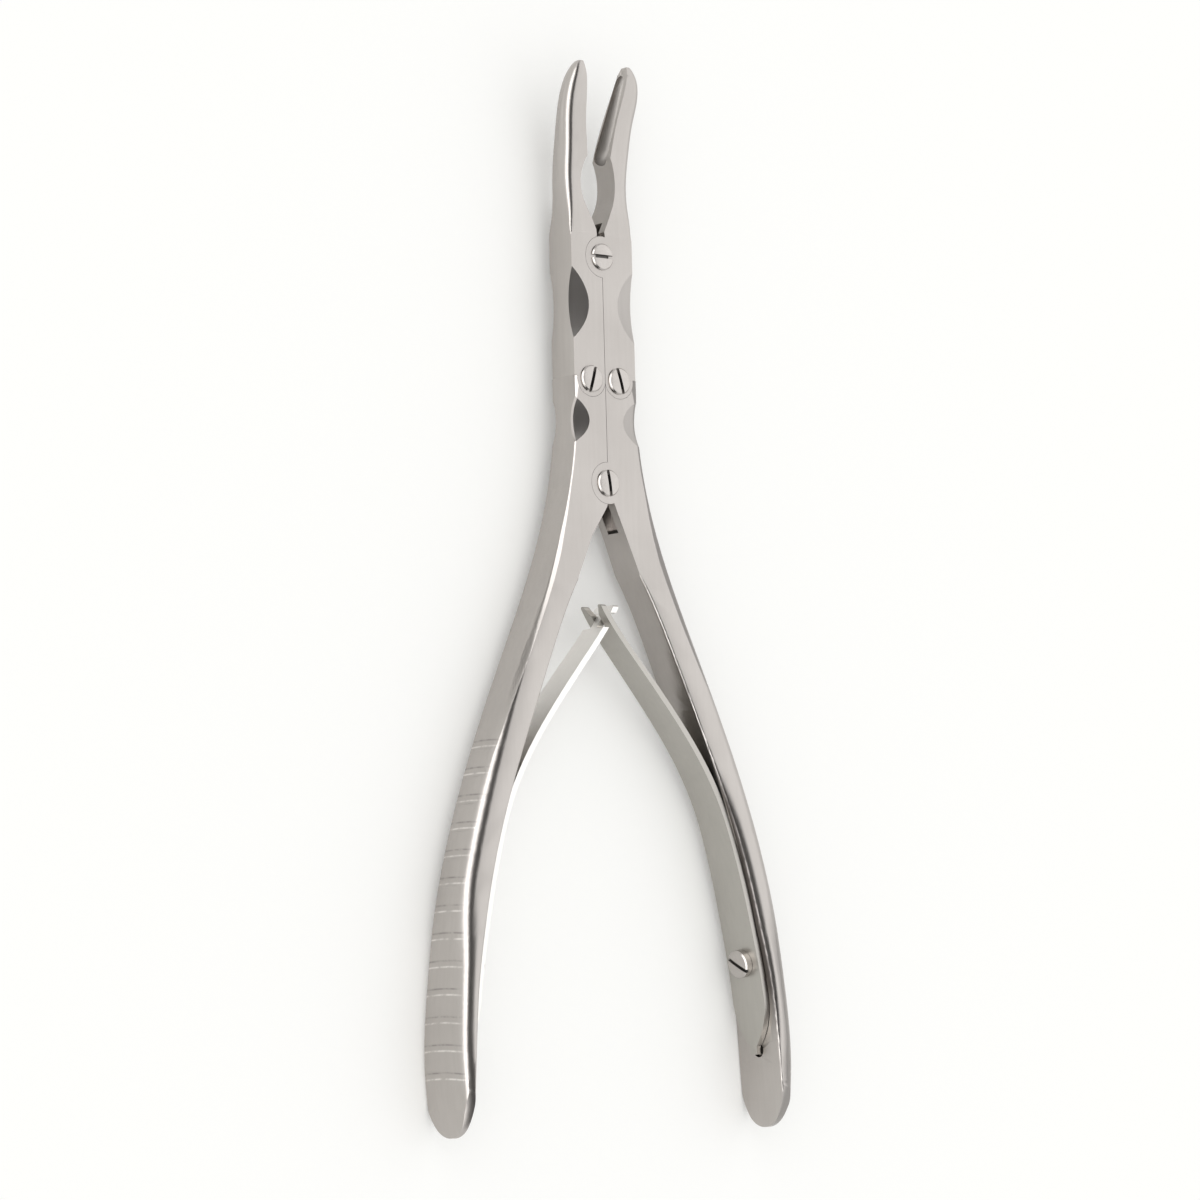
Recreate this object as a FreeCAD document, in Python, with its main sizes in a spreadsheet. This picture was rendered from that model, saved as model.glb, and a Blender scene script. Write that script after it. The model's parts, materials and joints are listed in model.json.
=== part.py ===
import FreeCAD, Part, Sketcher
import math
import os

# Bone rongeur with a double joint: two jaws and two handles on four pivot screws,
# opened by two leaf springs whose ends hook into each other.
# Every piece is drawn about the handle pivot, with the joint's mid-plane at z = 0,
# and its placement then lifts the whole tool onto the backs of its handles.

doc = FreeCAD.newDocument("boneRongeur")
sheet = doc.addObject("Spreadsheet::Sheet", "sizes")

# Driving sizes in millimetres and degrees
sizes = {
    "pivotToOrigin": 19.0,
    "restHeight": 5.6,
    "jointDepth": 6.2,
    "middleLayer": 2.7,
    "layerGap": 0.05,
    "seamGap": 0.04,
    "turnGap": 0.05,
    "bossRadius": 3.63,
    "earRadius": 3.1,
    "linkAcross": 3.07,
    "linkAlong": 18.04,
    "linkSeam": 18.4,
    "jawPivotAlong": 39.68,
    "jawInner": 1.0,
    "jawFlatEnd": 50.0,
    "notchRise": 3.5,
    "notchEnd": 48.2,
    "forkNotchAcross": 0.75,
    "forkNotchAlong": 44.2,
    "forkNotchEnd": 2.65,
    "tongueNotchAcross": 1.0,
    "tongueNotchAlong": 44.5,
    "tongueNotchEnd": 2.75,
    "slotWall": 4.2,
    "slotMouthAlong": 9.0,
    "slotShoulder": 0.7,
    "slotTaper": 1.5,
    "jawSlotMouthAlong": 6.6,
    "jawSlotSide": 3.6,
    "jawSlotMouthAcross": 1.6,
    "forkCrotchAngle": 70.0,
    "forkCrotchAcross": 3.45,
    "forkCrotchDown": 8.4,
    "forkCrotchEnd": 6.96,
    "tongueCrotchAcross": 3.9,
    "tongueCrotchDown": 9.44,
    "tongueBendAcross": 5.9,
    "tongueBendDown": 13.7,
    "tongueCrotchEnd": 7.45,
    "tongueCrotchAlong": 3.7,
    "crotchEnd": 17.0,
    "screwHeadRadius": 2.34,
    "screwHeadRise": 0.55,
    "screwHeadBevel": 0.22,
    "screwDome": 0.12,
    "screwShankRadius": 1.45,
    "screwRunGap": 0.04,
    "screwEndGap": 0.1,
    "openLinkGap": 0.1,
    "driverSlotWidth": 0.62,
    "driverSlotDepth": 0.38,
    "scallopDown": 1.0,
    "upperScallopAlong": 31.2,
    "upperScallopAcross": 3.6,
    "upperScallopRadius": 21.0,
    "lowerScallopAlong": 10.8,
    "lowerScallopAcross": 3.15,
    "lowerScallopRadius": 8.6,
    "rimAngle": 8.05,
    "rimStart": 57.5,
    "reliefRadius": 9.6,
    "cupRootAlong": 58.5,
    "cupRootHeight": 0.31,
    "cupRootRadius": 1.9,
    "cupTipAlong": 71.0,
    "cupTipHeight": 3.81,
    "cupTipRadius": 1.2,
    "grooveCount": 13,
    "grooveFirst": -45.6,
    "groovePitch": 4.63,
    "grooveWidth": 1.7,
    "grooveDepth": 0.3,
    "gripSlope": 0.034,
    "gripRun": 16.0,
    "handleEnd": -111.5,
    "noseAlong": -109.7,
    "noseHalf": 3.65,
    "noseStart": -103.5,
    "leafThickness": 1.05,
    "leafSeat": 0.1,
    "leafRootAlong": -97.3,
    "leafRootHalf": 0.95,
    "leafLiftOff": -58.0,
    "leafTipAlong": -21.1,
    "leafScrewAlong": -82.6,
    "leafScrewHeadRadius": 2.5,
    "leafScrewHeadRise": 1.5,
    "leafScrewSeatGap": 0.06,
    "leafScrewDepth": 2.6,
    "leafScrewShankRadius": 1.3,
    "nibAlong": -98.0,
    "nibWidth": 1.6,
    "nibHoleRadius": 1.3,
    "nibHoleDepth": 1.6,
    "nibReach": 1.0,
    "drillStart": 1.0,
    "forkSlotWidth": 2.1,
    "forkSlotAlong": -24.3,
    "slotEndEase": 1.02,
    "forkFlare": 1.7,
    "forkWidth": 5.6,
    "neckWidth": 1.6,
    "neckAlong": -24.55,
    "headAlong": -22.55,
    "headWidth": 5.2,
    "prongRound": 0.5,
    "headRound": 0.6,
    "neckShoulder": 0.5,
}

# Handle cross-sections: place along the tool, inner edge, outer side, half depth,
# inner and outer corner radii and the crown of the outer side
handleStations = {
    "shoulder": (23.0, -1.5, 6.95, 3.25, 0.2, 0.3, 0.2),
    "link": (12.0, -1.2, 7.2, 3.25, 0.2, 0.3, 0.3),
    "pivot": (0.0, -0.6, 8.6, 3.25, 0.2, 0.3, 0.3),
    "crotch": (-9.0, 2.3, 11.0, 3.25, 0.25, 0.3, 0.28),
    "neck": (-20.0, 8.85, 15.05, 3.45, 0.4, 0.35, 0.25),
    "bend": (-34.0, 15.3, 21.5, 3.8, 0.4, 1.3, 0.2),
    "bow": (-54.0, 23.6, 29.65, 4.35, 0.5, 2.1, 0.2),
    "belly": (-72.0, 29.0, 34.65, 4.7, 0.6, 2.15, 0.2),
    "heel": (-89.0, 32.3, 36.5, 5.4, 0.6, 1.9, 0.15),
    "butt": (-101.0, 33.4, 36.7, 5.6, 0.4, 1.5, 0.12),
    "end": (-108.0, 33.9, 35.7, 5.6, 0.3, 0.8, 0.1),
    "tail": (-112.5, 34.1, 34.9, 5.6, 0.2, 0.3, 0.05),
}

# Jaw cross-sections: place along the tool, outer side at mid-depth, front face,
# back face, front and back corner radii and the crown of the outer side
jawStations = {
    "tail": (43.0, 7.0, 3.25, -3.2, 0.3, 0.3, 0.2),
    "collar": (46.0, 7.0, 3.0, -2.7, 0.6, 0.6, 0.18),
    "throat": (49.5, 6.95, 2.7, -2.42, 1.0, 1.0, 0.15),
    "waist": (54.0, 7.1, 2.6, -2.3, 1.2, 1.3, 0.15),
    "root": (59.0, 7.35, 3.25, -1.7, 1.2, 1.7, 0.2),
    "cup": (64.0, 7.8, 4.05, -0.25, 1.25, 1.7, 0.2),
    "lip": (68.0, 8.0, 5.18, 1.32, 1.2, 1.5, 0.15),
    "point": (71.0, 7.4, 5.8, 2.5, 1.0, 1.1, 0.12),
    "crest": (72.7, 6.5, 5.93, 3.05, 0.7, 0.8, 0.1),
    "tip": (73.5, 5.7, 5.95, 3.4, 0.3, 0.3, 0.05),
}

# Leaf stations: place along the tool and the side that faces the middle.
# On the grip the outer side of the leaf follows the handle's inner edge instead.
leafStations = {
    "lift": (-46.2, 17.6),
    "flight": (-38.0, 11.3),
    "fall": (-30.0, 4.5),
    "crossing": (-24.7, 0.15),
    "end": (-19.5, -2.9),
}
leafWidths = {"lift": 6.7, "bow": 7.0, "belly": 7.8, "heel": 8.4}

stationParts = {
    "handle": (handleStations, (
        "Along", "Inner", "Outer", "HalfDepth", "InnerCorner", "Corner", "Crown")),
    "jaw": (jawStations, ("Along", "Outer", "Front", "Back", "FrontCorner", "BackCorner", "Crown")),
    "leaf": (leafStations, ("Along", "Inner")),
}
for piece, (stations, fields) in stationParts.items():
    for station, values in stations.items():
        for field, number in zip(fields, values):
            sizes[piece + station.capitalize() + field] = number
for station, width in leafWidths.items():
    sizes["leaf" + station.capitalize() + "Width"] = width

for row, (name, number) in enumerate(sizes.items(), start=1):
    sheet.set(f"A{row}", name)
    sheet.set(f"B{row}", str(number))
    sheet.setAlias(f"B{row}", name)
doc.recompute()


def value(expression):
    return float(sheet.evalExpression(expression))


# Expressions that several pieces share
face = "sizes.jointDepth / 2"
middle = "sizes.middleLayer / 2"
cheekStart = f"({middle} + sizes.layerGap / 2)"
tongueHalf = f"({middle} - sizes.layerGap / 2)"
pivots = {
    "handlePivot": ("0", "0"),
    "jawPivot": ("0", "sizes.jawPivotAlong"),
    "link": ("sizes.linkAcross", "sizes.linkAlong"),
}
reach = "60"
clear = "12"
spare = "2"


# Sketches and features

def originPlane(body, role):
    return next(feature for feature in body.Origin.OriginFeatures if feature.Role == role)


def addSketch(body, name, role, height="0"):
    sketch = body.newObject("Sketcher::SketchObject", name)
    sketch.AttachmentSupport = (originPlane(body, role), [""])
    sketch.MapMode = "FlatFace"
    sketch.setExpression("AttachmentOffset.Base.z", height)
    return sketch


def fix(sketch, kind, geometry, position, expression):
    number = sketch.addConstraint(
        Sketcher.Constraint(kind, -1, 1, geometry, position, value(expression)))
    sketch.setExpression(f"Constraints[{number}]", expression)


def fixRadius(sketch, geometry, expression):
    number = sketch.addConstraint(Sketcher.Constraint("Radius", geometry, value(expression)))
    sketch.setExpression(f"Constraints[{number}]", expression)


def arcBetween(start, end, radius, turn):
    chord = end - start
    aside = FreeCAD.Vector(-chord.y, chord.x, 0).normalize()
    rise = math.sqrt(max(radius ** 2 - chord.Length ** 2 / 4, 0))
    centre = (start + end) / 2 + aside * (turn * rise)
    angles = [math.atan2(point.y - centre.y, point.x - centre.x) for point in (start, end)]
    circle = Part.Circle(centre, FreeCAD.Vector(0, 0, 1), radius)
    if turn > 0:
        return Part.ArcOfCircle(circle, angles[0], angles[1])
    return Part.ArcOfCircle(circle, angles[1], angles[0])


# A closed outline: each corner gives its place and, for a round edge to the next
# corner, a radius and a turn (1 anticlockwise, -1 clockwise). Side -1 mirrors it.
def drawOutline(sketch, side, corners):
    first = sketch.GeometryCount
    count = len(corners)
    points = [FreeCAD.Vector(side * value(x), value(y), 0) for x, y, curve in corners]
    ends = []
    for index, (x, y, curve) in enumerate(corners):
        start = points[index]
        end = points[(index + 1) % count]
        if curve is None:
            sketch.addGeometry(Part.LineSegment(start, end), False)
            ends.append((1, 2))
            continue
        turn = curve[1] * side
        sketch.addGeometry(arcBetween(start, end, value(curve[0]), turn), False)
        ends.append((1, 2) if turn > 0 else (2, 1))
    for index in range(count):
        after = (index + 1) % count
        sketch.addConstraint(Sketcher.Constraint(
            "Coincident", first + index, ends[index][1], first + after, ends[after][0]))
    for index, (x, y, curve) in enumerate(corners):
        fix(sketch, "DistanceX", first + index, ends[index][0], f"{side} * ({x})")
        fix(sketch, "DistanceY", first + index, ends[index][0], y)
        if curve is not None:
            fixRadius(sketch, first + index, curve[0])


def drawCircle(sketch, side, x, y, radius):
    number = sketch.GeometryCount
    centre = FreeCAD.Vector(side * value(x), value(y), 0)
    circle = Part.Circle(centre, FreeCAD.Vector(0, 0, 1), value(radius))
    sketch.addGeometry(circle, False)
    fix(sketch, "DistanceX", number, 3, f"{side} * ({x})")
    fix(sketch, "DistanceY", number, 3, y)
    fixRadius(sketch, number, radius)


def loftThrough(body, name, sketches):
    loft = body.newObject("PartDesign::AdditiveLoft", name)
    loft.Profile = (sketches[0], [""])
    loft.Sections = [(sketch, [""]) for sketch in sketches[1:]]
    doc.recompute()
    return loft


def padMiddle(body, name, sketch, depth):
    pad = body.newObject("PartDesign::Pad", name)
    pad.Profile = sketch
    pad.Midplane = True
    pad.setExpression("Length", depth)
    doc.recompute()
    return pad


# Cuts are checked by volume, since a cut that misses the solid raises nothing
def checkedCut(body, feature):
    before = body.Shape.Volume
    doc.recompute()
    if not body.Shape.Volume < before - 1e-4:
        raise RuntimeError(feature.Label + " removes nothing")
    return feature


def pocketMiddle(body, name, sketch, depth=None):
    pocket = body.newObject("PartDesign::Pocket", name)
    pocket.Profile = sketch
    pocket.Midplane = True
    if depth is None:
        pocket.Type = "ThroughAll"
    else:
        pocket.setExpression("Length", depth)
    return checkedCut(body, pocket)


def pocketOutward(body, name, sketch):
    pocket = body.newObject("PartDesign::Pocket", name)
    pocket.Profile = sketch
    pocket.Type = "ThroughAll"
    pocket.Reversed = True
    return checkedCut(body, pocket)


# Cuts on the front are repeated on the back
def mirrorDepth(body, name, features):
    mirrored = body.newObject("PartDesign::Mirrored", name)
    mirrored.Originals = features
    mirrored.MirrorPlane = (originPlane(body, "XY_Plane"), [""])
    body.Tip = mirrored
    return checkedCut(body, mirrored)


def newBody(name, label):
    body = doc.addObject("PartDesign::Body", name)
    body.Label = label
    body.setExpression("Placement.Base.y", "sizes.pivotToOrigin")
    body.setExpression("Placement.Base.z", "sizes.restHeight")
    return body


# Cross-section of a handle or jaw: a flat inner side, flat front and back, a crowned
# outer side and rounded corners. A jaw's inner corners are cut away, so they stay square.
def drawSection(sketch, side, inner, outer, front, back, rounds, crown):
    innerRound, frontRound, backRound = rounds
    half = f"((({front}) - {frontRound} - (({back}) + {backRound})) / 2)"
    crownRadius = f"({half}^2 + {crown}^2) / (2 * {crown})"
    edge = f"({outer} - {crown})"
    if innerRound is None:
        corners = [(inner, back, None), (inner, front, None)]
    else:
        corners = [
            (f"{inner} + {innerRound}", back, (innerRound, -1)),
            (inner, f"({back}) + {innerRound}", None),
            (inner, f"({front}) - {innerRound}", (innerRound, -1)),
            (f"{inner} + {innerRound}", front, None),
        ]
    drawOutline(sketch, side, corners + [
        (f"{edge} - {frontRound}", front, (frontRound, -1)),
        (edge, f"({front}) - {frontRound}", (crownRadius, -1)),
        (edge, f"({back}) + {backRound}", (backRound, -1)),
        (f"{edge} - {backRound}", back, None),
    ])


def cutRing(body, name, side, pivot, radius):
    sketch = addSketch(body, name + "Outline", "XY_Plane", tongueHalf)
    x, y = pivots[pivot]
    drawCircle(sketch, side, x, y, radius)
    front = pocketOutward(body, name + "Front", sketch)
    return mirrorDepth(body, name + "Back", [front])


def cutBore(body, name, side, pivot, radius):
    sketch = addSketch(body, name + "Outline", "XY_Plane")
    x, y = pivots[pivot]
    drawCircle(sketch, side, x, y, radius)
    return pocketMiddle(body, name, sketch)


# A scallop is the mark of a wheel across the outer corner, front and back
def cutScallops(body, name, side, corner):
    along, radius = f"sizes.{name}Along", f"sizes.{name}Radius"
    across = value(f"sizes.{name}Across")
    down = value("sizes.scallopDown")
    chord = math.hypot(across, down)
    axis = FreeCAD.Vector(side * across, 0, -down) / chord
    outward = FreeCAD.Vector(side * down, 0, across) / chord
    depth = across * down / chord
    length = 4 * chord
    centre = FreeCAD.Vector(side * value(corner), value(along), value(face))
    centre = centre + outward * (value(radius) - depth) - axis * (length / 2)
    wheel = body.newObject("PartDesign::SubtractiveCylinder", name + "Front")
    wheel.AttachmentSupport = (originPlane(body, "XY_Plane"), [""])
    wheel.MapMode = "FlatFace"
    wheel.setExpression("Radius", radius)
    wheel.Height = length
    wheel.AttachmentOffset = FreeCAD.Placement(
        centre, FreeCAD.Rotation(FreeCAD.Vector(0, 0, 1), axis))
    checkedCut(body, wheel)
    return mirrorDepth(body, name + "Back", [wheel])


# Handles

def handleBlank(body, side):
    sketches = []
    for station in handleStations:
        size = "sizes.handle" + station.capitalize()
        sketch = addSketch(body, station + "Section", "XZ_Plane", f"-1 * {size}Along")
        drawSection(
            sketch, side, size + "Inner", size + "Outer", size + "HalfDepth",
            f"-1 * {size}HalfDepth", (size + "InnerCorner", size + "Corner", size + "Corner"),
            size + "Crown")
        sketches.append(sketch)
    doc.recompute()
    return loftThrough(body, "blank", sketches)


# The inner edge: the straight seam on the middle, then the crotch below the pivot
def cutInnerEdge(body, side, crotch):
    sketch = addSketch(body, "innerEdge", "XY_Plane")
    corners = [(f"-1 * {reach}", reach, None), ("sizes.seamGap", reach, None)]
    corners += [(x, y, None) for x, y in crotch]
    corners += [(f"-1 * {reach}", "-1 * sizes.crotchEnd", None)]
    drawOutline(sketch, side, corners)
    return pocketMiddle(body, "innerEdgeCut", sketch)


def cutTop(body, side):
    sketch = addSketch(body, "topSeam", "XY_Plane")
    drawOutline(sketch, side, [
        (f"-1 * {reach}", "sizes.linkSeam - sizes.seamGap / 2", None),
        (reach, "sizes.linkSeam - sizes.seamGap / 2", None),
        (reach, reach, None),
        (f"-1 * {reach}", reach, None),
    ])
    return pocketMiddle(body, "topSeamCut", sketch)


# The joint's front and back are flat as far as the crotch, then the grip thickens
def flattenHandle(body):
    sketch = addSketch(body, "jointFaces", "YZ_Plane")
    along, run = "sizes.handleCrotchAlong", "sizes.gripRun"
    for turn in (1, -1):
        drawOutline(sketch, 1, [
            (reach, f"{turn} * ({face})", None),
            (along, f"{turn} * ({face})", None),
            (f"{along} - {run}", f"{turn} * ({face} + {run} * sizes.gripSlope)", None),
            (f"{along} - {run}", f"{turn} * {clear}", None),
            (reach, f"{turn} * {clear}", None),
        ])
    return pocketMiddle(body, "jointFacesCut", sketch)


# The end of a handle is round in side view: a blunt nose between two longer curves
def roundEnd(body):
    sketch = addSketch(body, "endRound", "YZ_Plane")
    half = "sizes.handleEndHalfDepth"
    long, drop = "(sizes.noseStart - sizes.noseAlong)", f"({half} - sizes.noseHalf)"
    flank = f"({long}^2 + {drop}^2) / (2 * {drop})"
    rise = "(sizes.noseAlong - sizes.handleEnd)"
    nose = f"({rise}^2 + sizes.noseHalf^2) / (2 * {rise})"
    drawOutline(sketch, 1, [
        ("sizes.noseStart", half, (flank, 1)),
        ("sizes.noseAlong", "sizes.noseHalf", (nose, 1)),
        ("sizes.noseAlong", "-1 * sizes.noseHalf", (flank, 1)),
        ("sizes.noseStart", f"-1 * {half}", None),
        ("sizes.noseStart", f"-1 * {clear}", None),
        (f"sizes.handleEnd - {clear}", f"-1 * {clear}", None),
        (f"sizes.handleEnd - {clear}", clear, None),
        ("sizes.noseStart", clear, None),
    ])
    return pocketMiddle(body, "endRoundCut", sketch)


# Where a line across the tool at this place enters and leaves a shape
def surfacesAcross(shape, side, along):
    ray = Part.makeLine(
        FreeCAD.Vector(0, along, 0), FreeCAD.Vector(side * value(reach), along, 0))
    places = [side * vertex.X for vertex in shape.common(ray).Vertexes]
    return min(places), max(places)


# Grip grooves: a row of shallow round cuts across the outer side
def cutGrooves(body, side, blank):
    sketch = addSketch(body, "gripGrooves", "XY_Plane")
    width = value("sizes.grooveWidth")
    depth = value("sizes.grooveDepth")
    radius = (width ** 2 / 4 + depth ** 2) / (2 * depth)
    for index in range(int(value("sizes.grooveCount"))):
        along = f"sizes.grooveFirst - {index} * sizes.groovePitch"
        across = surfacesAcross(blank, side, value(along))[1] + radius - depth
        drawCircle(
            sketch, side, str(round(across, 4)), along,
            "(sizes.grooveWidth^2 / 4 + sizes.grooveDepth^2) / (2 * sizes.grooveDepth)")
    return pocketMiddle(body, "gripGroovesCut", sketch)


# The inner face of a handle at a place, and the direction that leaves it
def innerFaceAt(blank, side, along):
    across = surfacesAcross(blank, side, along)[0]
    above = surfacesAcross(blank, side, along + 1)[0]
    below = surfacesAcross(blank, side, along - 1)[0]
    outward = FreeCAD.Vector(-side, (above - below) / 2, 0).normalize()
    return FreeCAD.Vector(side * across, along, 0), outward


# A round hole into the inner face, drawn from a little way off it
def drillInnerFace(body, name, blank, side, along, radius, depth):
    point, outward = innerFaceAt(blank, side, value(along))
    drill = body.newObject("PartDesign::SubtractiveCylinder", name)
    drill.AttachmentSupport = (originPlane(body, "XY_Plane"), [""])
    drill.MapMode = "FlatFace"
    drill.setExpression("Radius", radius)
    drill.setExpression("Height", f"{depth} + sizes.drillStart")
    drill.AttachmentOffset = FreeCAD.Placement(
        point + outward * value("sizes.drillStart"),
        FreeCAD.Rotation(FreeCAD.Vector(0, 0, 1), outward * -1))
    return checkedCut(body, drill)


# Inner edge below the pivot, each place across and along the tool
crotchForkInner = [
    ("sizes.seamGap", "0"),
    ("sizes.bossRadius * cos(sizes.forkCrotchAngle * 1 deg)",
     "-1 * sizes.bossRadius * sin(sizes.forkCrotchAngle * 1 deg)"),
    ("sizes.forkCrotchAcross", "-1 * sizes.forkCrotchDown"),
    ("sizes.forkCrotchEnd", "-1 * sizes.crotchEnd"),
]
crotchTongueInner = [
    ("sizes.seamGap", "-1 * sizes.tongueCrotchAlong"),
    ("sizes.tongueCrotchAcross", "-1 * sizes.tongueCrotchDown"),
    ("sizes.tongueBendAcross", "-1 * sizes.tongueBendDown"),
    ("sizes.tongueCrotchEnd", "-1 * sizes.crotchEnd"),
]


# A boss of full depth about a pivot, with a slot for the other piece's tongue
def addForkBoss(body, side, pivot, mouthCorners):
    x, y = pivots[pivot]
    boss = addSketch(body, "bossOutline", "XY_Plane")
    drawCircle(boss, side, x, y, "sizes.bossRadius")
    padMiddle(body, "boss", boss, "sizes.jointDepth")
    slot = addSketch(body, "slotOutline", "XY_Plane")
    drawCircle(slot, side, x, y, "sizes.bossRadius + sizes.turnGap")
    pocketMiddle(body, "slotRound", slot, f"2 * {cheekStart}")
    mouth = addSketch(body, "slotMouth", "XY_Plane")
    drawOutline(mouth, side, mouthCorners)
    pocketMiddle(body, "slotMouthCut", mouth, f"2 * {cheekStart}")


# A tongue about a pivot, in recesses that take the other piece's boss
def addTongue(body, side, pivot):
    x, y = pivots[pivot]
    cutRing(body, "bossRecess", side, pivot, "sizes.bossRadius + sizes.turnGap")
    disc = addSketch(body, "pivotTongueOutline", "XY_Plane")
    drawCircle(disc, side, x, y, "sizes.bossRadius - sizes.turnGap / 2")
    padMiddle(body, "pivotTongue", disc, f"2 * {tongueHalf}")


def makeHandle(name, label, side, isFork):
    body = newBody(name, label)
    blank = handleBlank(body, side).Shape.copy()
    cutInnerEdge(body, side, crotchForkInner if isFork else crotchTongueInner)
    cutTop(body, side)
    flattenHandle(body)
    roundEnd(body)
    cutRing(body, "earRecess", side, "link", "sizes.earRadius + sizes.turnGap")
    tongue = addSketch(body, "linkTongueOutline", "XY_Plane")
    linkX, linkY = pivots["link"]
    drawCircle(tongue, side, linkX, linkY, "sizes.earRadius - sizes.turnGap")
    padMiddle(body, "linkTongue", tongue, f"2 * {tongueHalf}")
    if isFork:
        wall, mouthAlong = "sizes.slotWall", "-1 * sizes.slotMouthAlong"
        addForkBoss(body, side, "handlePivot", [
            (f"-1 * {wall}", "0", None),
            (f"{wall} * sizes.slotShoulder", "0", None),
            (wall, "-1 * sizes.slotTaper", None),
            (wall, f"{mouthAlong} + sizes.slotTaper", None),
            (f"{wall} - sizes.slotTaper", mouthAlong, None),
            (f"-1 * {wall}", mouthAlong, None),
        ])
    else:
        addTongue(body, side, "handlePivot")
    shank = "sizes.screwShankRadius"
    linkClearance = "sizes.openLinkGap" if isFork else "sizes.screwRunGap"
    cutBore(body, "linkBore", side, "link", f"{shank} + {linkClearance}")
    pivotBore = shank if isFork else f"{shank} + sizes.screwRunGap"
    cutBore(body, "pivotBore", side, "handlePivot", pivotBore)
    cutScallops(body, "lowerScallop", side, "sizes.handleLinkOuter - sizes.handleLinkCrown")
    cutGrooves(body, side, blank)
    drillInnerFace(body, "leafScrewHole", blank, side, "sizes.leafScrewAlong",
                   "sizes.leafScrewShankRadius", "sizes.leafScrewDepth")
    drillInnerFace(body, "nibHole", blank, side, "sizes.nibAlong",
                   "sizes.nibHoleRadius", "sizes.nibHoleDepth")
    return body, blank


# Jaws

def jawBlank(body, side):
    sketches = []
    for station in jawStations:
        size = "sizes.jaw" + station.capitalize()
        sketch = addSketch(body, station + "Section", "XZ_Plane", f"-1 * {size}Along")
        drawSection(
            sketch, side, "-1 * sizes.jawInner", size + "Outer", size + "Front", size + "Back",
            (None, size + "FrontCorner", size + "BackCorner"), size + "Crown")
        sketches.append(sketch)
    doc.recompute()
    tail = body.newObject("PartDesign::Pad", "tailBlock")
    tail.Profile = sketches[0]
    tail.setExpression(
        "Length", f"sizes.jawTailAlong - sizes.linkAlong + sizes.earRadius + {spare}")
    doc.recompute()
    return loftThrough(body, "blank", sketches)


def rimAcross(along):
    return f"(({along} - sizes.jawPivotAlong) * tan(sizes.rimAngle * 1 deg))"


# The inner edge of a jaw: seam, a notch above the pivot, a round relief, then the
# rim of the cup, which closes on the middle
def cutJawInnerEdge(body, side, kind):
    sketch = addSketch(body, "innerEdge", "XY_Plane")
    top = "(sizes.jawTipAlong + 5)"
    notch = f"sizes.{kind}Notch"
    pivotAlong = "sizes.jawPivotAlong"
    drawOutline(sketch, side, [
        (f"-1 * {reach}", "0", None),
        ("sizes.seamGap", "0", None),
        ("sizes.seamGap", pivotAlong, None),
        (f"{notch}Across", f"{pivotAlong} + sizes.notchRise", None),
        (f"{notch}Across", f"{notch}Along", None),
        (f"{notch}End", "sizes.notchEnd", ("sizes.reliefRadius", 1)),
        (f"{rimAcross('sizes.rimStart')} + sizes.seamGap", "sizes.rimStart", None),
        (f"{rimAcross(top)} + sizes.seamGap", top, None),
        (f"-1 * {reach}", top, None),
    ])
    return pocketMiddle(body, "innerEdgeCut", sketch)


# The joint's front and back are flat, and the jaw leaves them above the pivot
def flattenJaw(body):
    sketch = addSketch(body, "jointFaces", "YZ_Plane")
    for turn in (1, -1):
        drawOutline(sketch, 1, [
            ("0", f"{turn} * ({face})", None),
            ("sizes.jawFlatEnd", f"{turn} * ({face})", None),
            ("sizes.jawFlatEnd", f"{turn} * {clear}", None),
            ("0", f"{turn} * {clear}", None),
        ])
    return pocketMiddle(body, "jointFacesCut", sketch)


# Below the seam a jaw keeps two ears, with the handle's tongue between them
def cutEars(body, side):
    ear = "(sizes.earRadius)"
    seam = "(sizes.linkSeam + sizes.seamGap / 2)"
    rise = f"({seam} - sizes.linkAlong)"
    half = f"sqrt({ear}^2 - {rise}^2)"
    sketch = addSketch(body, "earOutline", "XY_Plane")
    drawOutline(sketch, side, [
        (f"-1 * {reach}", seam, None),
        (f"sizes.linkAcross - {half}", seam, (ear, 1)),
        ("sizes.linkAcross", f"sizes.linkAlong - {ear}", (ear, 1)),
        (f"sizes.linkAcross + {half}", seam, None),
        (reach, seam, None),
        (reach, "0", None),
        (f"-1 * {reach}", "0", None),
    ])
    pocketMiddle(body, "earCut", sketch)
    linkX, linkY = pivots["link"]
    slot = addSketch(body, "earSlotRound", "XY_Plane")
    drawCircle(slot, side, linkX, linkY, f"{ear} + sizes.turnGap")
    return pocketMiddle(body, "earSlotCut", slot, f"2 * {cheekStart}")


# The cup is a tapered gouge mark along the rim, with a ball at each end
def cutCup(body, side):
    ends = []
    for station in ("Root", "Tip"):
        along = f"sizes.cup{station}Along"
        ends.append(FreeCAD.Vector(
            side * value(rimAcross(along)), value(along), value(f"sizes.cup{station}Height")))
    axis = ends[1] - ends[0]
    turn = FreeCAD.Rotation(FreeCAD.Vector(0, 0, 1), axis)
    gouge = body.newObject("PartDesign::SubtractiveCone", "cupHollow")
    gouge.AttachmentSupport = (originPlane(body, "XY_Plane"), [""])
    gouge.MapMode = "FlatFace"
    gouge.setExpression("Radius1", "sizes.cupRootRadius")
    gouge.setExpression("Radius2", "sizes.cupTipRadius")
    gouge.Height = axis.Length
    gouge.AttachmentOffset = FreeCAD.Placement(ends[0], turn)
    checkedCut(body, gouge)
    for station, centre in zip(("Root", "Tip"), ends):
        ball = body.newObject("PartDesign::SubtractiveSphere", f"cup{station}Ball")
        ball.AttachmentSupport = (originPlane(body, "XY_Plane"), [""])
        ball.MapMode = "FlatFace"
        ball.setExpression("Radius", f"sizes.cup{station}Radius")
        ball.AttachmentOffset = FreeCAD.Placement(centre, turn)
        checkedCut(body, ball)


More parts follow.
